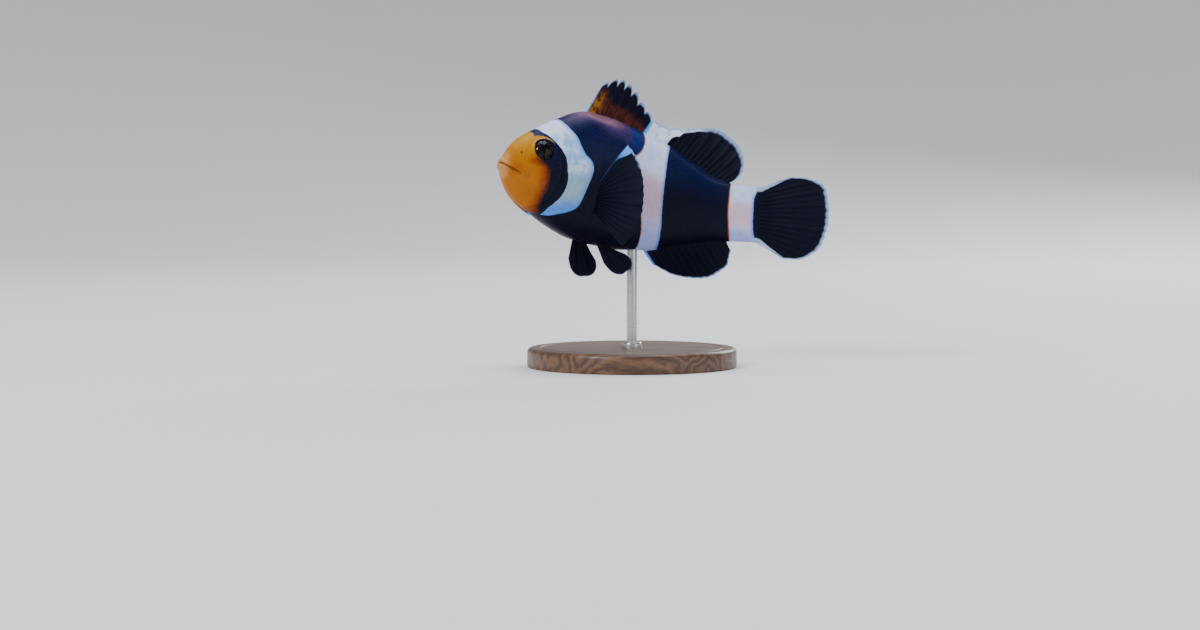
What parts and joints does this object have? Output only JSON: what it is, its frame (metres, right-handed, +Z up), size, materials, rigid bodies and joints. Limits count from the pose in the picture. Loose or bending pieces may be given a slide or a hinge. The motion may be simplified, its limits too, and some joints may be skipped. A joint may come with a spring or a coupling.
{
  "type": "clownfish, still model on a stand",
  "caption": "Still, life-size model of a black clownfish with an orange face and white bands, head turned to one side, on a round base with a thin rod.",
  "frame": {"origin": "centre of the flat underside of the stand's base, below the rod", "axes": "+Z up along the rod, the fish's snout towards -X, its left side and the turn of its head towards -Y"},
  "size_m": [0.0835, 0.054, 0.0738],
  "materials": {
    "skin_orange": "satin orange fish skin, small scales under a thin wet gloss",
    "skin_black": "satin black fish skin with small overlapping scales",
    "skin_white": "satin bluish-white fish skin with small overlapping scales",
    "fin_black": "black fin membrane with ridged rays and a pale see-through edge",
    "fin_brown": "orange-brown fin membrane with dark tips between stiff spines",
    "fin_white": "white, slightly see-through fin membrane",
    "eye": "clear wet eyeball, black pupil in a dark orange-brown iris",
    "stand_wood": "dark walnut, satin varnish",
    "stand_steel": "brushed along the rod"
  },
  "bodies": {
    "root": {"snout": "skin_orange", "head": "skin_black", "head_band": "skin_white", "shoulder": "skin_black", "middle_band": "skin_white", "flank": "skin_black", "tail_stalk": "skin_white", "eye_left": "eye", "eye_right": "eye", "dorsal_fin_spines": "fin_brown", "dorsal_fin_notch": "fin_white", "dorsal_fin_rays": "fin_black", "anal_fin": "fin_black", "tail_fin": "fin_black", "pectoral_fin_left": "fin_black", "pectoral_fin_right": "fin_black", "pelvic_fin_left": "fin_black", "pelvic_fin_right": "fin_black", "stand_base": "stand_wood", "stand_rod": "stand_steel"}
  },
  "joints": []
}
